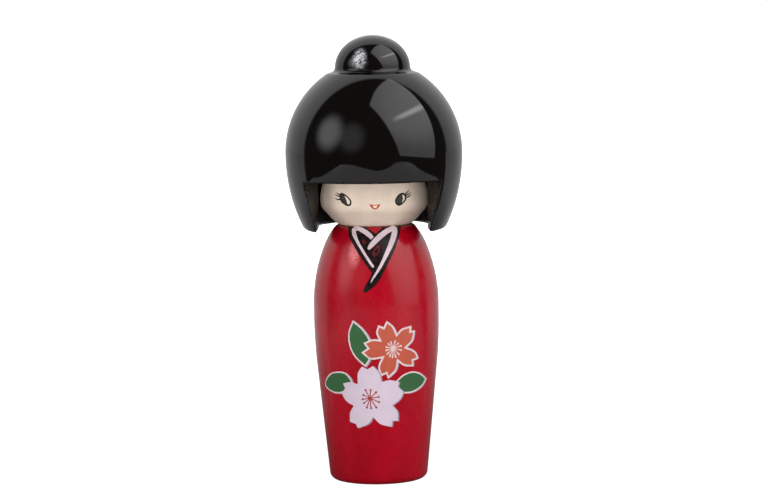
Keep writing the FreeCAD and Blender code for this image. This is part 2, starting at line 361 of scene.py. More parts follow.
def toward(start, finish, distance):
    """The point this far from the start on the way to the finish."""
    length = math.dist(start, finish)
    return tuple(a + (b - a) * distance / length for a, b in zip(start, finish))


def section(outer_edge, bore_edge, outer_start, bore_start, outer_round, roughness):
    """One slice of the window's surround, from the outside across the cut face to the bore."""
    wall_from = toward(outer_edge, bore_edge, outer_round)
    wall_to = toward(bore_edge, outer_edge, BORE_EDGE_ROUND)
    across = line(wall_from, wall_to, WALL_STEPS)
    for index in range(1, WALL_STEPS):
        x, y, z = across[index]
        push = CUT_ROUGH * roughness(index, z)
        across[index] = (x + push, y - push * 0.3, z + push * 0.2)
    outer_bend = bend(outer_start, outer_edge, wall_from, 5)
    return joined(outer_bend, across, bend(wall_to, bore_edge, bore_start, 3))


def wall_section(side, height, inset, at_fringe):
    """The slice of one side wall at a height. inset draws everything in, for the rounded rim.

    The slice at the fringe is flat and its ends are raised, so that it meets the fringe's slices.
    """
    sign = 1 if side == "right" else -1
    share = (height - RIM_Z) / (FRINGE_Z - RIM_Z)
    front = [low + (high - low) * share for low, high in zip(WINDOW_RIM[side], WINDOW_TOP[side])]
    inner = WINDOW_INNER[side]
    along = (Vector(front) - Vector(inner)).normalized()
    into_hair = Vector((-along.y, along.x)) * sign
    origin = Vector(inner) + into_hair * RIM_ROUND["wall"] * inset
    outer_r = HAIR.at(height)[0] - RIM_ROUND["outer"] * inset
    bore_r = BORE_R + RIM_ROUND["bore"] * inset

    def meets(radius):
        """The angle where the wall's line leaves a circle about the axis."""
        reach = origin.dot(along)
        hit = origin + along * (-reach + math.sqrt(reach**2 - origin.length_squared + radius**2))
        return math.atan2(hit.x, -hit.y)

    wander = CUT_WAVE * EDGE_WAVE[side](height)
    outer_theta = meets(outer_r) + sign * wander / outer_r
    bore_theta = meets(bore_r)
    outer_round = FRINGE_ROUND * (1.3 + 0.5 * ROUND_WAVE[side](height))
    lift_outer, lift_bore = 0.0, 0.0
    if at_fringe:
        outer_round = lift_outer = FRINGE_ROUND
        lift_bore = BORE_EDGE_ROUND
    outer_start = (HAIR.at(height + lift_outer)[0] - RIM_ROUND["outer"] * inset,
                   outer_theta + sign * outer_round / outer_r, height + lift_outer)
    bore_start = (bore_r, bore_theta + sign * BORE_EDGE_ROUND / bore_r, height + lift_bore)
    points = section(spin(outer_r, outer_theta, height), spin(bore_r, bore_theta, height),
                     spin(*outer_start), spin(*bore_start), outer_round, flat if at_fringe else sawn)
    return points, outer_start, bore_start


EDGE_WAVE = {"left": waves(11, 4, 14.0), "right": waves(12, 4, 16.0)}
ROUND_WAVE = {"left": waves(21, 3, 6.0), "right": waves(22, 3, 7.0)}
CUT_WAVES = [waves(31, 3, 9.0), waves(32, 3, 6.0), waves(33, 3, 12.0)]


def sawn(step, height):
    """How far a hand-cut face stands out, in steps across it."""
    return CUT_WAVES[step % len(CUT_WAVES)](height + step * 5)


def flat(step, height):
    return 0.0


def rim_wave(theta):
    """Whole waves round the rim, so that they close on themselves."""
    parts = ((1.0, 3, 1.0), (0.7, 7, 2.2), (0.5, 12, 0.4))
    return sum(size * math.sin(count * theta + phase) for size, count, phase in parts) / 2.2


def hair_mesh():
    verts, faces = [], []

    def add(points):
        first = len(verts)
        verts.extend(points)
        return list(range(first, len(verts)))

    def closed(row):
        return row + row[:1]

    levels = []
    for index in range(RIM_LEVELS):
        turn = math.radians(90 * index / RIM_LEVELS)
        levels.append((RIM_Z + RIM_ROUND_HEIGHT * (1 - math.cos(turn)), 1 - math.sin(turn)))
    levels += [(height, 0.0) for (height,) in line((RIM_Z + RIM_ROUND_HEIGHT,), (FRINGE_Z,), WALL_LEVELS)]

    # each level: the slices of both walls, and the outside and the bore round the back
    right, left, outside, bore = [], [], [], []
    for index, (height, inset) in enumerate(levels):
        corner = index == len(levels) - 1
        points, outer_r, bore_r = wall_section("right", height, inset, corner)
        right.append(add(points))
        points, outer_l, bore_l = wall_section("left", height, inset, corner)
        left.append(add(points))
        for rows, start, finish, end in ((outside, outer_r, outer_l, 0), (bore, bore_r, bore_l, -1)):
            stops = line((start[1],), (finish[1] + math.tau,), BACK_COLUMNS)[1:-1]
            row = add([spin(start[0], theta, start[2]) for (theta,) in stops])
            rows.append([right[-1][end]] + row + [left[-1][end]])
    corners = {"outer": (outer_r, outer_l), "bore": (bore_r, bore_l)}

    # the underside of the fringe, from right to left
    fringe = []
    for index in range(1, FRONT_COLUMNS):
        share = index / FRONT_COLUMNS
        outer_theta, bore_theta = (a[1] + (b[1] - a[1]) * share for a, b in corners.values())
        outer_r = HAIR.at(FRINGE_Z)[0]
        fringe.append(add(section(
            spin(outer_r, outer_theta, FRINGE_Z), spin(BORE_R, bore_theta, FRINGE_Z),
            spin(HAIR.at(FRINGE_Z + FRINGE_ROUND)[0], outer_theta, FRINGE_Z + FRINGE_ROUND),
            spin(BORE_R, bore_theta, FRINGE_Z + BORE_EDGE_ROUND), FRINGE_ROUND, flat)))

    surround = right + fringe + left[::-1]
    for low, high in zip(surround, surround[1:]):
        faces += quads(high, low)
    for low, high in zip(outside, outside[1:]):
        faces += quads(low, high)
    for low, high in zip(bore, bore[1:]):
        faces += quads(high, low)
    faces += quads(bore[0], outside[0])
    faces += [tuple(right[0]), tuple(reversed(left[0]))]

    # above the window: whole rings over the crown, down through the seats and back to the bore
    flare = smooth([HAIR.points[-1], *LACQUER_FILLET], 6)
    dome = [point for point in HAIR.points if point[1] > FRINGE_Z + FRINGE_ROUND + 0.15]
    inside_profile = [(BUN_SEAT_R - 0.05, BUN_SEAT_Z), (CROWN_BORE_R, BUN_SEAT_Z), (CROWN_BORE_R, SEAT_TOP),
                      (PLUG_R, SEAT_TOP), (PLUG_R, BORE_TOP)]
    profile = joined(dome, flare, inside_profile)
    ring = outside[-1] + [slice_[0] for slice_ in reversed(fringe)]
    angles = [math.atan2(verts[i][0], -verts[i][1]) for i in ring]
    previous = ring
    for radius, height in profile:
        row = add([spin(radius, theta, height) for theta in angles])
        faces += quads(closed(previous), closed(row))
        previous = row
    bore_ring = bore[-1] + [slice_[-1] for slice_ in reversed(fringe)]
    bore_angles = [math.atan2(verts[i][0], -verts[i][1]) for i in bore_ring]
    row = add([spin(BORE_R, theta, BORE_TOP) for theta in bore_angles])
    faces += quads(closed(previous), closed(row))
    faces += quads(closed(row), closed(bore_ring))

    # the rim climbs toward the nape, and the lacquer pooled unevenly under it
    for index, (x, y, z) in enumerate(verts):
        climb = RIM_SLOPE * max(y - RIM_LEVEL_Y, 0.0) * max(1 - (z - RIM_Z) / 10, 0.0)
        pooled = RIM_WAVE * max(1 - (z - RIM_Z) / 3, 0.0) ** 2 * rim_wave(math.atan2(x, -y))
        verts[index] = (x, y, z + climb + pooled)
    return verts, faces


# ---- body, head and bun ----------------------------------------------------------------------

def body_mesh():
    outside = BODY.points
    top_r = outside[-1][0]
    edge = bend(outside[-3], (top_r, BODY_TOP), (top_r - BODY_TOP_ROUND * 2, BODY_TOP), 4)
    base = line((0.0, 0.0), outside[0], 6)
    inner = joined(line(edge[-1], (NECK_BORE_R, BODY_TOP), 4), [(NECK_BORE_R, BORE_FLOOR), (0.0, BORE_FLOOR)])
    return lathe(joined(base, outside[:-2], edge, inner))


def head_mesh():
    outside = HEAD.points
    chin = bend((CHIN_R - CHIN_ROUND, CHIN_Z), outside[0], outside[3], 4)
    start = [(0.0, NECK_BORE_TOP), (NECK_PEG_R, NECK_BORE_TOP), (NECK_PEG_R, CHIN_Z)]
    plug = [(PLUG_R, PLUG_TOP - PLUG_CHAMFER), (PLUG_R - PLUG_CHAMFER, PLUG_TOP), (CROWN_BORE_R, PLUG_TOP),
            (CROWN_BORE_R, CROWN_BORE_LOW), (0.0, CROWN_BORE_LOW)]
    return lathe(joined(start, line((NECK_PEG_R, CHIN_Z), chin[0], 4), chin, outside[3:], plug))


def bun_mesh():
    inset = BUN_R - BUN_SIDE_ARC_R
    top_r = (inset**2 + BUN_HEIGHT**2 - BUN_SIDE_ARC_R**2) / (2 * (BUN_HEIGHT - BUN_SIDE_ARC_R))
    equator = BUN_SEAT_Z + BUN_FOOT_ROUND
    joint_deg = math.degrees(math.atan2(top_r - BUN_HEIGHT, inset))
    foot = arc((BUN_R - BUN_FOOT_ROUND, equator), BUN_FOOT_ROUND, -90, 0, 6)
    side = arc((inset, equator), BUN_SIDE_ARC_R, 0, joint_deg, 40)
    top = arc((0, equator + BUN_HEIGHT - top_r), top_r, joint_deg, 90, 14)
    bore = [(0.0, BUN_BORE_TOP), (CROWN_BORE_R, BUN_BORE_TOP), (CROWN_BORE_R, BUN_SEAT_Z)]
    return lathe(joined(bore, foot, side, top[:-1], [(0.0, top[-1][1])]))


# ---- materials -------------------------------------------------------------------------------

# painted highlights, on the left shoulder and on the bun: centre and reach along each axis
SHOULDER_HIGHLIGHT_PLACE, SHOULDER_HIGHLIGHT_SIZE = (-7.0, -16.2, 77.9), (2.6, 4.0, 7.0)
BUN_HIGHLIGHT_PLACE, BUN_HIGHLIGHT_SIZE = (-4.3, -11.0, 142.4), (3.1, 3.5, 5.2)


class Finish:
    """A material's nodes, with short calls for the ones used here. Lengths are in millimetres."""

    def __init__(self, name, colour, roughness, **settings):
        self.material = bpy.data.materials.new(name)
        self.material.use_nodes = True
        self.nodes = self.material.node_tree.nodes
        self.links = self.material.node_tree.links
        self.shader = self.nodes["Principled BSDF"]
        self.set(self.shader, Base_Color=(*colour, 1.0), Roughness=roughness, **settings)
        self.coordinates = self.nodes.new("ShaderNodeTexCoord").outputs["Object"]

    def set(self, node, **inputs):
        """Gives sockets a value, or a link from another node's socket."""
        for name, value in inputs.items():
            key = int(name[1:]) if name[0] == "_" else name.replace("_", " ")
            socket = node.inputs[key]
            if isinstance(value, bpy.types.NodeSocket):
                self.links.new(value, socket)
            else:
                socket.default_value = value

    def node(self, kind, inputs=None, **properties):
        node = self.nodes.new("ShaderNode" + kind)
        for name, value in properties.items():
            setattr(node, name, value)
        self.set(node, **(inputs or {}))
        return node

    def noise(self, size, detail=3.0, roughness=0.5, stretch=(1, 1, 1)):
        """Noise whose lumps are about this many millimetres, drawn out by stretch."""
        scale = tuple(1 / (size * MM * factor) for factor in stretch)
        place = self.node("Mapping", {"Vector": self.coordinates, "Scale": scale})
        noise = self.node("TexNoise", {"Vector": place.outputs[0], "Scale": 1.0, "Detail": detail,
                                       "Roughness": roughness})
        return noise.outputs["Fac"]

    def spots(self, spacing, size, stretch=(1, 1, 1)):
        """1 on scattered specks, 0 between them."""
        scale = tuple(1 / (spacing * MM * factor) for factor in stretch)
        place = self.node("Mapping", {"Vector": self.coordinates, "Scale": scale})
        cells = self.node("TexVoronoi", {"Vector": place.outputs[0], "Scale": 1.0, "Randomness": 1.0})
        return self.remap(cells.outputs["Distance"], size * 0.6, size, 1.0, 0.0)

    def patch(self, place, size):
        """1 at a place on the doll, fading to 0 at this many millimetres from it along each axis."""
        shift = self.vector_math("SUBTRACT", self.coordinates, Vector(place) * MM).outputs[0]
        share = self.vector_math("DIVIDE", shift, Vector(size) * MM).outputs[0]
        return self.remap(self.vector_math("LENGTH", share).outputs["Value"], 0.25, 1.0, 1.0, 0.0)

    def remap(self, value, low, high, to_low=0.0, to_high=1.0):
        node = self.node("MapRange", {"Value": value, "From_Min": low, "From_Max": high,
                                      "To_Min": to_low, "To_Max": to_high}, interpolation_type="SMOOTHSTEP")
        return node.outputs["Result"]

    def math(self, operation, first, second=0.0):
        return self.node("Math", {"_0": first, "_1": second}, operation=operation).outputs[0]

    def vector_math(self, operation, first, second=(0.0, 0.0, 0.0)):
        return self.node("VectorMath", {"_0": first, "_1": second}, operation=operation)

    def blend(self, factor, first, second):
        """One colour over another."""
        colours = [(*c, 1.0) if isinstance(c, tuple) else c for c in (first, second)]
        node = self.node("Mix", {"_0": factor, "_6": colours[0], "_7": colours[1]}, data_type="RGBA")
        return node.outputs[2]

    def bump(self, height, distance, strength=1.0, under=None):
        """Relief of this many millimetres, over another relief."""
        inputs = {"Height": height, "Distance": distance * MM, "Strength": strength}
        if under is not None:
            inputs["Normal"] = under
        return self.node("Bump", inputs).outputs[0]

    def height(self):
        """The height above the base, in metres."""
        return self.node("SeparateXYZ", {"Vector": self.coordinates}).outputs["Z"]

    def use(self, **inputs):
        self.set(self.shader, **inputs)
        return self.material


def red_lacquer():
    """Thin brushed lacquer over turned wood, bare on the underside."""
    deep, bright, coat_weight = (0.285, 0.0003, 0.007), (0.34, 0.0008, 0.010), 0.2
    paint = Finish("red_lacquer", bright, 0.3, Specular_IOR_Level=0.32, Coat_Weight=coat_weight,
                   Coat_Roughness=0.1)
    cloud = paint.noise(9, 4, 0.6, (1, 1, 2.2))
    colour = paint.blend(paint.remap(cloud, 0.3, 0.7), deep, bright)
    # fine vertical turning and sanding lines that show through the lacquer
    lines = paint.noise(0.9, 3, 0.6, (1, 1, 14))
    colour = paint.blend(paint.remap(lines, 0.6, 0.85, 0.0, 0.3), colour, (0.44, 0.003, 0.014))
    # a painted highlight on the left shoulder: a pale patch with a cloth-like weave stands in for a lamp's
    # reflection
    # the cloth-like weave inside the painted highlight
    highlight_weave = paint.math("MULTIPLY", paint.remap(paint.noise(0.32, 1, 0.5, (1, 1, 5)), 0.3, 0.6, 0.55, 1.0),
                       paint.remap(paint.noise(0.36, 1, 0.5, (5, 5, 1)), 0.3, 0.6, 0.55, 1.0))
    shoulder_highlight = paint.math("MULTIPLY", paint.patch(SHOULDER_HIGHLIGHT_PLACE, SHOULDER_HIGHLIGHT_SIZE), highlight_weave)
    colour = paint.blend(shoulder_highlight, colour, (0.62, 0.17, 0.18))
    worn = paint.remap(paint.noise(14, 2), 0.52, 0.66)
    scuffs = paint.math("MULTIPLY", paint.spots(5.5, 0.05, (1, 1, 1.6)), worn)
    colour = paint.blend(paint.math("MULTIPLY", scuffs, 0.3), colour, (0.42, 0.08, 0.07))
    # the underside is left as bare turned wood
    wood = paint.remap(paint.height(), 0.00012, 0.0003, 1.0, 0.0)
    grain = paint.remap(paint.noise(0.7, 4, 0.6, (1, 9, 1)), 0.35, 0.65)
    colour = paint.blend(wood, colour, paint.blend(grain, (0.42, 0.27, 0.14), (0.58, 0.41, 0.24)))
    peel = paint.bump(paint.noise(1.5, 2, 0.4), 0.012)
    canvas = paint.bump(paint.noise(0.35, 2, 0.6), 0.004, 1.0, peel)
    roughness = paint.remap(paint.noise(4, 4, 0.6), 0.3, 0.75, 0.2, 0.34)
    coat = paint.math("MULTIPLY", paint.math("SUBTRACT", 1.0, wood), coat_weight)
    return paint.use(Base_Color=colour, Roughness=roughness, Normal=canvas, Coat_Weight=coat)


BLACK = (0.0022, 0.0016, 0.0013)


def black_lacquer(name, roughness, peel_height):
    """Thick glossy black: the paint, its roughness and its relief, for the finishes built on it."""
    paint = Finish(name, BLACK, roughness, IOR=1.5)
    smear = paint.remap(paint.noise(12, 4, 0.6), 0.35, 0.75, roughness * 0.8, roughness * 1.6)
    relief = paint.bump(paint.noise(7, 1, 0.3), peel_height)
    return paint, smear, paint.bump(paint.spots(9, 0.035), 0.01, 0.6, relief)


def hair_lacquer():
    """The sawn faces of the window took the lacquer unevenly."""
    paint, smear, relief = black_lacquer("hair_lacquer", 0.035, 0.010)
    face = paint.node("Attribute", attribute_name="cut").outputs["Fac"]
    grain = paint.noise(1.1, 3, 0.6, (1, 1, 1.8))
    uneven = paint.remap(grain, 0.35, 0.7, 0.16, 0.4)
    rough = paint.node("Mix", {"_0": face, "_2": smear, "_3": uneven}).outputs[0]
    return paint.use(Roughness=rough, Normal=paint.bump(grain, 0.16, face, relief),
                     Specular_IOR_Level=paint.remap(face, 0.0, 1.0, 0.5, 0.22))


def bun_lacquer():
    """A painted highlight lies on the bun's front left: pale specks in a patch stand in for a lamp's
    reflection.
    """
    paint, smear, relief = black_lacquer("bun_lacquer", 0.05, 0.012)
    # pale specks that make up the painted highlight
    highlight_specks = paint.remap(paint.noise(0.7, 4, 0.7), 0.38, 0.6)
    bun_highlight = paint.math("MULTIPLY", paint.patch(BUN_HIGHLIGHT_PLACE, BUN_HIGHLIGHT_SIZE), highlight_specks)
    return paint.use(Base_Color=paint.blend(bun_highlight, BLACK, (0.62, 0.61, 0.65)), Roughness=smear, Normal=relief)


def bore_black():
    """The thin dull black inside the hair."""
    paint = Finish("bore_black", (0.003, 0.0026, 0.0022), 0.6, Specular_IOR_Level=0.12)
    grain = paint.noise(0.9, 4, 0.6, (1, 1, 4))
    return paint.use(Roughness=paint.remap(grain, 0.3, 0.7, 0.5, 0.75), Normal=paint.bump(grain, 0.03))


def cream_paint():
    paint = Finish("cream_paint", (0.66, 0.54, 0.435), 0.5)
    cloud = paint.remap(paint.noise(6, 4, 0.6), 0.3, 0.7)
    colour = paint.blend(cloud, (0.625, 0.51, 0.41), (0.695, 0.575, 0.47))
    specks = paint.math("MULTIPLY", paint.spots(1.6, 0.11), 0.22)
    colour = paint.blend(specks, colour, (0.50, 0.33, 0.22))
    relief = paint.bump(paint.noise(0.5, 3, 0.6), 0.006)
    return paint.use(Base_Color=colour, Normal=relief,
                     Roughness=paint.remap(paint.noise(3, 3), 0.3, 0.7, 0.42, 0.58))


def bare_wood():
    paint = Finish("bare_wood", (0.58, 0.41, 0.24), 0.62)
    grain = paint.remap(paint.noise(0.6, 4, 0.6, (1, 1, 16)), 0.35, 0.65)
    colour = paint.blend(grain, (0.47, 0.31, 0.17), (0.64, 0.47, 0.29))
    return paint.use(Base_Color=colour, Normal=paint.bump(grain, 0.02),
                     Roughness=paint.remap(grain, 0.0, 1.0, 0.7, 0.5))


def ink(name, colour, worn, roughness=0.36, cloud=2.5):
    """A printed or brushed colour, a little uneven, with some worn places."""
    paint = Finish(name, colour, roughness, Specular_IOR_Level=0.2)
    patches = paint.remap(paint.noise(cloud, 4, 0.6), 0.35, 0.7)
    relief = paint.bump(paint.noise(0.4, 3, 0.6), 0.006)
    return paint.use(Base_Color=paint.blend(patches, colour, worn), Normal=relief,
                     Roughness=paint.remap(paint.noise(1.5, 3), 0.3, 0.7, roughness - 0.07, roughness + 0.1))


FINISH = {
    "red": red_lacquer(),
    "hair": hair_lacquer(),
    "bun": bun_lacquer(),
    "bore": bore_black(),
    "cream": cream_paint(),
    "wood": bare_wood(),
    "petal": ink("petal_ink", (0.56, 0.465, 0.545), (0.53, 0.44, 0.52)),
    "coral": ink("coral_ink", (0.42, 0.086, 0.050), (0.38, 0.078, 0.050)),
    "leaf": ink("leaf_ink", (0.031, 0.104, 0.037), (0.037, 0.098, 0.041)),
    "outline": ink("outline_ink", (0.60, 0.50, 0.50), (0.52, 0.44, 0.46)),
    "underlay": ink("underlay_ink", (0.30, 0.27, 0.33), (0.26, 0.24, 0.30)),
    "stamen": ink("stamen_ink", (0.30, 0.050, 0.040), (0.25, 0.045, 0.040)),
    "pollen": ink("pollen_ink", (0.62, 0.47, 0.46), (0.56, 0.42, 0.43)),
    "collar": ink("collar_ink", (0.006, 0.004, 0.004), (0.016, 0.009, 0.009), 0.28, 1.2),
    "piping": ink("piping_ink", (0.55, 0.44, 0.47), (0.48, 0.37, 0.41)),
    "dab": ink("dab_ink", (0.12, 0.012, 0.014), (0.05, 0.010, 0.010), 0.3, 0.8),
    "eye": ink("eye_ink", (0.010, 0.007, 0.005), (0.016, 0.012, 0.010), 0.4),
    "iris": ink("iris_ink", (0.042, 0.036, 0.033), (0.030, 0.026, 0.024), 0.4, 0.8),
    "glint": ink("glint_ink", (0.74, 0.64, 0.47), (0.70, 0.60, 0.44), 0.4),
    "lips": ink("lips_ink", (0.47, 0.055, 0.045), (0.42, 0.06, 0.05), 0.4),
}


# ---- printed flowers and leaves --------------------------------------------------------------

# Layers of print lie a little higher than what they cover: each lift is in millimetres.
# petals: (degrees, reach) round the blossom's centre, five times valley, side, lobe, notch, lobe, side
WHITE_CENTRE = (-2.40, 29.80)
WHITE_PETALS = (
    ((-19, 7.6), (-4, 9.8), (9, 11.44), (22, 10.0), (29, 11.1), (43, 9.0)),
    ((56, 6.7), (71, 9.2), (85, 11.1), (95, 9.9), (104, 11.2), (116, 9.4)),
    ((131, 6.4), (142, 8.8), (154, 10.9), (160, 9.4), (172, 10.5), (187, 8.7)),
    ((204, 6.3), (215, 8.8), (228, 10.9), (240, 10.2), (246, 11.1), (264, 8.6)),
    ((277, 6.2), (290, 9.2), (305, 12.0), (313, 10.5), (319, 12.1), (332, 10.1)),
)
CORAL_CENTRE = (5.58, 46.46)
CORAL_PETALS = (
    ((2, 4.2), (19, 7.2), (35, 9.4), (41, 8.0), (48, 9.4), (63, 7.1)),
    ((76, 4.6), (91, 7.3), (103, 9.3), (114, 7.6), (122, 9.1), (135, 7.6)),
    ((146, 5.2), (156, 7.6), (168, 9.8), (178, 8.3), (186, 10.4), (202, 8.2)),
    ((217, 4.4), (230, 7.6), (244, 9.7), (253, 8.3), (259, 9.8), (275, 7.2)),
    ((289, 4.2), (304, 6.9), (319, 9.4), (328, 8.1), (337, 9.9), (349, 7.9)),
)
# stamens: (degrees, reach) round the blossom's heart
WHITE_STAMENS = ((119, 3.15), (85, 2.74), (45, 2.82), (8, 2.83), (335, 3.2), (302, 3.72), (274, 3.41),
                 (250, 3.4), (219, 2.66), (189, 2.58), (155, 2.44))
CORAL_STAMENS = ((109, 2.27), (72, 2.55), (41, 2.44), (13, 2.91), (344, 3.0), (312, 3.03), (286, 3.16),
                 (265, 3.14), (246, 2.98), (223, 2.8), (195, 2.47), (168, 2.35), (136, 2.24))

LEAVES = {
    "upper": ((-3.7, 40.2), (-7.2, 43.4), (-9.1, 47.0), (-9.5, 51.5), (-7.8, 55.9),
              (-4.6, 53.3), (-2.2, 49.8), (-1.5, 46.1), (-2.1, 42.8)),
    "left": ((-21.65, 33.3), (-20.6, 34.9), (-17.5, 37.3), (-14.0, 38.1), (-10.9, 37.8), (-8.6, 35.2),
             (-9.2, 32.8), (-12.2, 31.0), (-15.5, 30.5), (-19.2, 31.2), (-21.2, 32.2)),
    "right": ((6.0, 34.4), (8.0, 36.8), (10.2, 38.0), (13.0, 38.4), (16.2, 37.5), (19.5, 35.2),
              (17.6, 33.2), (14.6, 31.7), (11.2, 31.1), (8.2, 31.7)),
}
LEAF_TIPS = {"upper": (0, 4), "left": (0,), "right": (5,)}
LEAF_SHIFT = {"upper": (-0.2, 0.29), "left": (-0.07, 0.42), "right": (-0.28, -0.09)}
LEAF_BORDER = 0.52         # width of a leaf's pale border
SHADE_DROP = -0.12         # height of a grey underlay against its print



def petal_outline(centre, petals):
    """A blossom's closed outline. Valleys, lobes and notches are corners, and sides bow between them."""
    outline = []
    for index, (valley, side, lobe, notch, far_lobe, far_side) in enumerate(petals):
        next_valley = petals[(index + 1) % len(petals)][0]
        places = [polar(centre, *p) for p in (valley, side, lobe, notch, far_lobe, far_side, next_valley)]
        outline += smooth(places[:3], 7)[:-1]
        outline += line(places[2], places[3], 3)[:-1]
        outline += line(places[3], places[4], 3)[:-1]
        outline += smooth(places[4:], 7)[:-1]
    return outline


def leaf_outline(place):
    """A leaf's closed outline, a corner at each tip."""
    points, tips = LEAVES[place], LEAF_TIPS[place]
    outline = []
    for index, tip in enumerate(tips):
        finish = tips[(index + 1) % len(tips)]
        finish += len(points) if finish <= tip else 0
        run = [points[i % len(points)] for i in range(tip, finish + 1)]
        outline += smooth(run, 6)[:-1]
    return outline


def inset(outline, distance):
    """The outline moved inward, for a colour that stops short of its border."""
    moved = []
    for before, here, after in zip(outline[-1:] + outline, outline, outline[1:] + outline[:1]):
        ahead = (Vector(after) - Vector(here)).normalized()
        behind = (Vector(here) - Vector(before)).normalized()
        along = (ahead + behind).normalized()
        inward = Vector((-along.y, along.x))
        stretch = min(1 / max(inward.dot(Vector((-ahead.y, ahead.x))), 0.3), 2.2)
        moved.append(tuple(Vector(here) + inward * distance * stretch))
    return moved


def shifted(outline, right, up):
    return [(girth + right, height + up) for girth, height in outline]


def counterclockwise(outline):
    area = sum(a[0] * b[1] - b[0] * a[1] for a, b in zip(outline, outline[1:] + outline[:1]))
    return outline if area > 0 else outline[::-1]


def print_on_body(name, outline, lift, finish, slot, node=None):
    mesh = film_mesh(counterclockwise(outline), BODY, lift)
    return make_piece(name, *mesh, FINISH[finish], "torso", slot, node)


def underlay(name, outline, right, lift):
    """The grey layer that shows to the right of a print and below it."""
    place = shifted(outline, right, SHADE_DROP)
    print_on_body(name + "_underlay", place, lift, "underlay", "white_print")


def disc(centre, radius, count, wobble, seed):
    """A round dab's outline, with an uneven edge."""
    dice = random.Random(seed)
    reaches = [radius * (1 + dice.uniform(-wobble, wobble)) for _ in range(count)]
    return [polar(centre, 360 * i / count, reach) for i, reach in enumerate(reaches)]


def leaves():
    for place in LEAVES:
        outline = counterclockwise(shifted(leaf_outline(place), *LEAF_SHIFT[place]))
        underlay(f"leaf_{place}", outline, 0.5, 0.012)
        print_on_body(f"leaf_{place}_border", outline, 0.026, "outline", "white_print")
        print_on_body(f"leaf_{place}", inset(outline, LEAF_BORDER), 0.040, "leaf", "green_print",
                      f"transfer_leaf_{place}")


def coral_blossom():
    outline = petal_outline(CORAL_CENTRE, CORAL_PETALS)
    underlay("coral_blossom", outline, 0.62, 0.052)
    print_on_body("coral_blossom", outline, 0.066, "coral", "coral_print", "transfer_coral_blossom")
    dice = random.Random(5)
    path = [(girth, height, 0.60 + dice.uniform(-0.05, 0.05)) for girth, height in outline]
    border = ribbon_mesh(path, BODY, 0.080, closed=True)
    make_piece("coral_blossom_border", *border, FINISH["outline"], "torso", "white_print")
    spikes = []
    for petal in CORAL_PETALS:
        degrees, reach = petal[0]
        start = polar(CORAL_CENTRE, degrees, reach + 0.1)
        finish = polar(CORAL_CENTRE, degrees, reach - 0.55)
        spikes.append(ribbon_mesh([(*start, 0.55), (*finish, 0.12)], BODY, 0.081))
    heart = (CORAL_CENTRE[0] - 0.12, CORAL_CENTRE[1] + 0.22)
    clubs = []
    for degrees, far in CORAL_STAMENS:
        steps = ((0.5, 0.30), (far * 0.55, 0.28), (far * 0.8, 0.46), (far, 0.60), (far + 0.24, 0.26))
        clubs.append(ribbon_mesh([(*polar(heart, degrees, r), w) for r, w in steps], BODY, 0.083))
    blob = film_mesh(disc(heart, 0.82, 16, 0.12, 3), BODY, 0.085)
    stamens = merged(*clubs, *spikes, blob)
    make_piece("coral_blossom_stamens", *stamens, FINISH["pollen"], "torso", "white_print")


def white_blossom():
    outline = petal_outline(WHITE_CENTRE, WHITE_PETALS)
    underlay("white_blossom", outline, 0.5, 0.095)
    print_on_body("white_blossom", outline, 0.110, "petal", "white_print", "transfer_white_blossom")
    heart = (WHITE_CENTRE[0] - 0.06, WHITE_CENTRE[1] + 0.17)
    strokes = []
    for index, (degrees, far) in enumerate(WHITE_STAMENS):
        run = [(*polar(heart, degrees, far * share), 0.34) for share in (0.1, 0.4, 0.7, 1.0)]
        strokes.append(ribbon_mesh(run, BODY, 0.127))
        tip = disc(polar(heart, degrees, far), 0.38, 10, 0.12, index)
        strokes.append(film_mesh(tip, BODY, 0.129))
    strokes.append(film_mesh(disc(heart, 0.72, 16, 0.2, 4), BODY, 0.130))
    make_piece("white_blossom_stamens", *merged(*strokes), FINISH["stamen"], "torso", "coral_print")


# ---- painted collar --------------------------------------------------------------------------

COLLAR_LEFT = ((-9.75, 86.25), (-9.4, 84.3), (-8.9, 82.9), (-7.75, 81.3), (-5.2, 77.4), (-2.5, 73.6),
               (-1.1, 71.9))
COLLAR_TAIL = ((-1.1, 71.9), (-1.75, 70.3), (-3.6, 67.1), (-4.1, 65.2))
COLLAR_RIGHT = ((-4.1, 65.2), (-2.3, 65.9), (0.9, 68.7), (3.4, 73.0), (6.0, 77.7), (8.3, 82.5), (9.6, 86.25))
COLLAR_NECK = ((9.6, 86.25), (2.8, 86.28), (0.3, 84.3), (-2.75, 86.28), (-9.75, 86.25))
# piping: (girth, height, width) along each brush stroke
PIPING_LEFT = (
    ((-0.8, 82.9, 1.3), (-1.9, 84.0, 1.5), (-3.6, 85.1, 1.5), (-5.6, 85.9, 1.3), (-7.2, 85.7, 1.5)),
    ((-7.2, 85.9, 1.3), (-7.1, 84.3, 1.6), (-6.0, 82.0, 1.05), (-4.2, 79.1, 0.85), (-2.4, 76.3, 0.85),
     (-0.55, 73.6, 0.75)),
)
PIPING_RIGHT = (
    ((-2.2, 79.4, 0.8), (-1.2, 80.6, 1.5), (0.8, 82.6, 1.8), (3.3, 84.5, 1.7), (5.6, 85.6, 1.6),
     (7.2, 85.9, 1.5)),
    ((7.1, 86.1, 1.4), (6.9, 84.5, 2.0), (5.9, 81.8, 1.8), (4.2, 78.4, 1.45), (2.8, 75.7, 1.1),
     (1.2, 72.9, 0.85), (-0.5, 70.4, 0.6), (-1.5, 68.6, 0.15)),
)
DABS = (((-3.4, 82.4, 0.7), (-3.6, 81.8, 1.5), (-3.7, 81.0, 0.8)),
        ((1.4, 80.7, 0.8), (0.9, 79.5, 1.7), (0.2, 78.2, 1.8), (-0.6, 77.1, 0.8)))
COLLAR_SHIFT = -0.12       # the whole collar is painted this far off the middle


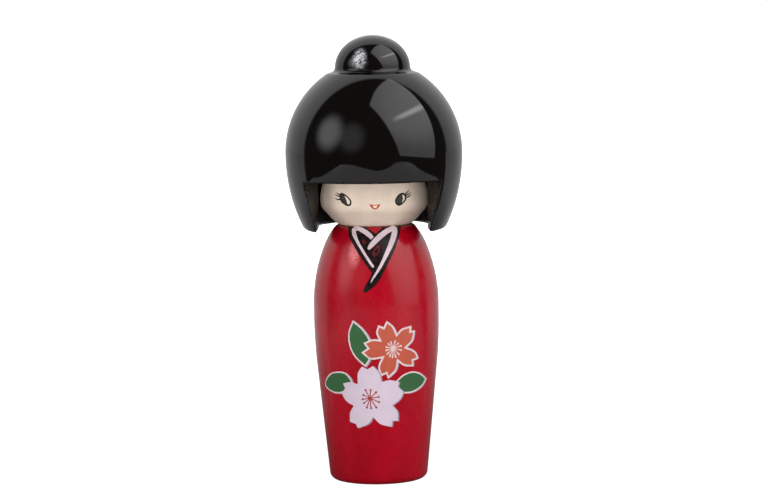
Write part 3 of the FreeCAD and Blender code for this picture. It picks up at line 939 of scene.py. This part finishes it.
def collar():
    outline = (smooth(COLLAR_LEFT, 5)[:-1] + smooth(COLLAR_TAIL, 5)[:-1] + smooth(COLLAR_RIGHT, 5)[:-1]
               + joined(*[line(a, b, 4) for a, b in zip(COLLAR_NECK, COLLAR_NECK[1:])])[:-1])
    outline = shifted(outline, COLLAR_SHIFT, 0.0)
    print_on_body("collar_ground", outline, 0.03, "collar", "black_lacquer")
    for name, strokes, finish, slot, lift in (
            ("collar_piping_left", PIPING_LEFT, "piping", "white_print", 0.045),
            ("collar_piping_right", PIPING_RIGHT, "piping", "white_print", 0.060),
            ("collar_dabs", DABS, "dab", "red_lacquer", 0.04)):
        strokes = [[(girth + COLLAR_SHIFT, *rest) for girth, *rest in stroke] for stroke in strokes]
        parts = [ribbon_mesh(smooth(stroke, 6), BODY, lift + 0.002 * index)
                 for index, stroke in enumerate(strokes)]
        make_piece(name, *merged(*parts), FINISH[finish], "torso", slot)


# ---- painted face ----------------------------------------------------------------------------

EYES = {
    "left": {
        "outline": ((-11.55, 98.1), (-9.55, 97.25), (-8.05, 95.8), (-7.9, 94.5), (-8.55, 93.85),
                    (-9.85, 93.85), (-11.75, 95.0), (-12.45, 96.4), (-12.25, 97.6)),
        "white": ((-10.35, 97.1), (-9.35, 96.7), (-8.55, 95.6), (-8.5, 94.7), (-9.25, 94.4), (-9.65, 95.5)),
        "lashes": (((-12.05, 97.5), (-13.15, 97.65), (-14.15, 98.1)),
                   ((-12.25, 96.9), (-13.45, 97.0), (-14.65, 97.4)),
                   ((-12.25, 95.9), (-13.35, 95.8), (-14.55, 96.2))),
    },
    "right": {
        "outline": ((10.1, 97.85), (11.2, 96.95), (11.2, 95.6), (9.9, 94.3), (8.4, 93.6), (7.3, 94.2),
                    (6.95, 95.5), (7.8, 96.95), (8.9, 97.7)),
        "white": ((9.75, 97.2), (10.5, 96.75), (10.5, 95.75), (9.5, 94.7), (9.95, 95.9)),
        "lashes": (((10.8, 97.4), (11.7, 97.9), (12.5, 98.7)), ((11.2, 97.0), (12.3, 97.3), (13.25, 97.95)),
                   ((11.5, 96.3), (12.6, 96.6), (13.5, 97.2))),
    },
}
MOUTH = ((-1.75, 94.65), (-1.2, 94.3), (-0.5, 94.35), (0.15, 94.2), (0.8, 94.35), (1.5, 94.35), (1.95, 94.75),
         (1.6, 93.65), (0.9, 92.95), (0.2, 92.65), (-0.6, 92.95), (-1.35, 93.65))
TONGUE = ((-0.5, 93.95), (-0.1, 94.0), (0.2, 93.85), (0.5, 94.0), (0.9, 93.95), (0.75, 93.5), (0.2, 93.15),
          (-0.35, 93.5))
INK_LINE = 0.5


def paint_on_head(name, meshes, finish, slot):
    return make_piece(name, *merged(*meshes), FINISH[finish], "head_unit", slot)


def face():
    for side, eye in EYES.items():
        outline = counterclockwise(closed_smooth(eye["outline"], 6))
        ring = [(girth, height, INK_LINE) for girth, height in inset(outline, INK_LINE / 2)]
        lashes = [smooth([(*p, w) for p, w in zip(lash, (0.5, 0.4, 0.16))], 4) for lash in eye["lashes"]]
        paint_on_head(f"eye_{side}_iris", [film_mesh(outline, HEAD, 0.012, 0.5)], "iris", "black_lacquer")
        white = counterclockwise(closed_smooth(eye["white"], 5))
        paint_on_head(f"eye_{side}_white", [film_mesh(white, HEAD, 0.022, 0.4)], "glint", "cream_lacquer")
        strokes = [ribbon_mesh(ring, HEAD, 0.032, closed=True)]
        strokes += [ribbon_mesh(lash, HEAD, 0.030) for lash in lashes]
        paint_on_head(f"eye_{side}_lines", strokes, "eye", "black_lacquer")
    mouth = counterclockwise(closed_smooth(MOUTH, 4))
    tongue = counterclockwise(closed_smooth(TONGUE, 4))
    paint_on_head("mouth", [film_mesh(mouth, HEAD, 0.012, 0.5)], "lips", "coral_print")
    paint_on_head("mouth_heart", [film_mesh(tongue, HEAD, 0.024, 0.4)], "glint", "cream_lacquer")


# ---- build the doll --------------------------------------------------------------------------

def finish_window(piece):
    """Marks the sawn window faces, where the lacquer lies differently, and dulls the bore."""
    marks = piece.data.attributes.new("cut", "FLOAT", "POINT")
    piece.data.materials.append(FINISH["bore"])
    places = [Vector(vertex.co) / MM for vertex in piece.data.vertices]
    radii = [math.hypot(place.x, place.y) for place in places]
    for index, (place, radius) in enumerate(zip(places, radii)):
        if RIM_Z + 0.6 < place.z < FRINGE_Z + 0.01 and BORE_R + 0.1 < radius < HAIR.at(place.z)[0] - 0.3:
            marks.data[index].value = 1.0
    for face in piece.data.polygons:
        if all(radii[i] < BORE_R + 0.05 for i in face.vertices) and face.center.z / MM < BORE_TOP + 1:
            face.material_index = 1


make_piece("doll_body", *body_mesh(), FINISH["red"], "torso", "red_lacquer", "body")
make_piece("doll_head", *head_mesh(), FINISH["cream"], "head_unit", "cream_lacquer", "head")
hair = make_piece("doll_hair", *hair_mesh(), FINISH["hair"], "head_unit", "black_lacquer", "hair_shell")
finish_window(hair)
make_piece("doll_bun", *bun_mesh(), FINISH["bun"], "head_unit", "black_lacquer", "bun")
leaves()
coral_blossom()
white_blossom()
collar()
face()
for peg in ("neck_peg", "crown_peg"):
    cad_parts[peg].material_slots[0].material = FINISH["wood"]


# ---- floor, light and camera -----------------------------------------------------------------

# the sheet's uneven front, in metres, from the right of the doll round to its left
TABLE_EDGE = ((0.10, 0.03), (0.40, 0.01), (0.44, -0.06), (0.46, -0.17), (0.50, -0.30), (0.59, -0.48),
              (0.62, -0.71), (0.42, -0.78), (0.21, -0.60), (0.04, -0.52), (-0.14, -0.60), (-0.35, -0.68),
              (-0.54, -0.62), (-0.51, -0.44), (-0.44, -0.20), (-0.43, -0.10), (-0.42, 0.01), (-0.10, 0.03))


def floor():
    """A pale sheet that reaches a little way in front of the doll and far behind it. Metres."""
    wide, side, back, level = 3.0, 0.86, 5.0, -0.00002
    outline = smooth(TABLE_EDGE, 5) + [(-wide, side), (-wide, back), (wide, back), (wide, side)]
    mesh = bpy.data.meshes.new("floor")
    mesh.from_pydata([(x, y, level) for x, y in outline], [], [tuple(reversed(range(len(outline))))])
    paint = Finish("floor_paint", (0.42, 0.42, 0.43), 0.8, Specular_IOR_Level=0.1,
                   Emission_Color=(1, 1, 1, 1))
    # it lies in the doll's shade near the foot
    away = paint.vector_math("LENGTH", paint.coordinates).outputs["Value"]
    shade = paint.blend(paint.remap(away, 0.05, 0.36), (0.12, 0.115, 0.12), (0.62, 0.60, 0.62))
    seen = paint.node("LightPath").outputs["Is Camera Ray"]
    paint.use(Base_Color=shade, Emission_Strength=seen)
    mesh.materials.append(paint.material)
    table = bpy.data.objects.new("floor", mesh)
    bpy.context.scene.collection.objects.link(table)


class Sky(Finish):
    """The light around the doll, as a function of direction."""

    def __init__(self):
        self.material = bpy.data.worlds.new("studio")
        self.material.use_nodes = True
        self.nodes = self.material.node_tree.nodes
        self.links = self.material.node_tree.links
        self.direction = self.nodes.new("ShaderNodeTexCoord").outputs["Generated"]

    def along(self, axis):
        """How much the direction points along an axis."""
        return self.vector_math("DOT_PRODUCT", self.direction, axis).outputs["Value"]

    def side_of(self, normal, softness, offset):
        """1 on the side of a plane near the doll that its normal points to."""
        return self.remap(self.along(normal), offset - softness, offset + softness)

    def toward(self, azimuth, elevation, inner_deg, outer_deg):
        """1 within an angle of a direction, fading to 0. Azimuth is from the front toward +X."""
        az, el = math.radians(azimuth), math.radians(elevation)
        aim = (math.sin(az) * math.cos(el), -math.cos(az) * math.cos(el), math.sin(el))
        low, high = math.cos(math.radians(outer_deg)), math.cos(math.radians(inner_deg))
        return self.remap(self.along(aim), low, high)

    def product(self, *values):
        return functools.reduce(lambda a, b: self.math("MULTIPLY", a, b), values)

    def total(self, *values):
        return functools.reduce(lambda a, b: self.math("ADD", a, b), values)


def studio():
    """A white backdrop, a large diffuser on the right and two faint glows on the left, in a dark room."""
    sky = Sky()
    room = 0.05
    height = sky.node("SeparateXYZ", {"Vector": sky.direction}).outputs["Z"]
    backdrop = sky.product(sky.side_of((-0.055, 0.998, 0.03), 0.045, 0.268),
                           sky.remap(height, -0.05, 0.6, 0.62, 0.9))
    # the diffuser is seen from the doll as four edges, and is brightest over its lamp
    panel = sky.product(
        sky.side_of((0.117, 0.0, 0.993), 0.008, 0.031),
        sky.side_of((-0.234, -0.957, 0.172), 0.012, -0.171),
        sky.side_of((0.767, 0.565, 0.304), 0.02, -0.050),
        sky.side_of((0.894, -0.372, 0.250), 0.02, 0.336))
    glow = sky.product(panel, sky.total(sky.remap(height, 0.0, 0.6, 0.95, 1.48),
                                        sky.product(sky.toward(66, 43, 0, 46), 0.66)))
    # the lamp behind it is a slanting tube
    off_tube = sky.math("ABSOLUTE", sky.math("SUBTRACT", sky.along((-0.394, 0.197, 0.898)), 0.291))
    tube = sky.remap(off_tube, 0.0, 0.075, 1.0, 0.0)
    lamp = sky.product(panel, sky.toward(68, 44, 0, 31), tube, 4.0)
    left = sky.total(sky.product(sky.math("POWER", sky.toward(-64, 22, 0, 30), 3.6), 1.95),
                     sky.product(sky.math("POWER", sky.toward(-30, 20, 0, 26), 2.4), 0.5))
    light = sky.total(room, backdrop, glow, lamp, left)
    seen = sky.node("LightPath").outputs["Is Camera Ray"]
    strength = sky.node("Mix", {"_0": seen, "_2": light, "_3": 1.05}).outputs[0]
    sky.set(sky.nodes["Background"], Color=(1.0, 1.0, 1.0, 1.0), Strength=strength)
    bpy.context.scene.world = sky.material
    bpy.context.scene.view_settings.view_transform = "Standard"


def fill_light(name, place, aim, size, watts, spread_deg=180):
    """A soft light that shows on the paint but not in the gloss. Metres."""
    data = bpy.data.lights.new(name, "AREA")
    data.shape = "DISK"
    data.size = size
    data.energy = watts
    data.spread = math.radians(spread_deg)
    lamp = bpy.data.objects.new(name, data)
    bpy.context.scene.collection.objects.link(lamp)
    turn = (Vector(aim) - Vector(place)).to_track_quat("-Z", "Y")
    lamp.matrix_world = Matrix.Translation(place) @ turn.to_matrix().to_4x4()
    lamp.visible_camera = False
    lamp.visible_glossy = False


EYE = Vector((0.0029, -0.98338, 0.17588))
LOOK_DOWN_DEG, ROLL_DEG = 5.72, -0.9
LENS_MM, SENSOR_MM = 137.508, 36.0


def camera():
    data = bpy.data.cameras.new("camera")
    data.sensor_width = SENSOR_MM
    data.lens = LENS_MM
    shooter = bpy.data.objects.new("camera", data)
    bpy.context.scene.collection.objects.link(shooter)
    tilt = Matrix.Rotation(math.radians(90 - LOOK_DOWN_DEG), 4, "X")
    roll = Matrix.Rotation(math.radians(ROLL_DEG), 4, "Z")
    shooter.matrix_world = Matrix.Translation(EYE) @ tilt @ roll
    bpy.context.scene.camera = shooter


floor()
studio()
fill_light("fill_front", (-0.20, -1.70, 0.05), (0.0, 0.0, 0.14), 0.2, 3.3, 80)
fill_light("fill_left", (-0.75, -0.45, 0.12), (0.0, 0.0, 0.06), 0.4, 1.7)
fill_light("fill_right", (0.75, -0.45, 0.12), (0.0, 0.0, 0.06), 0.4, 1.5)
camera()
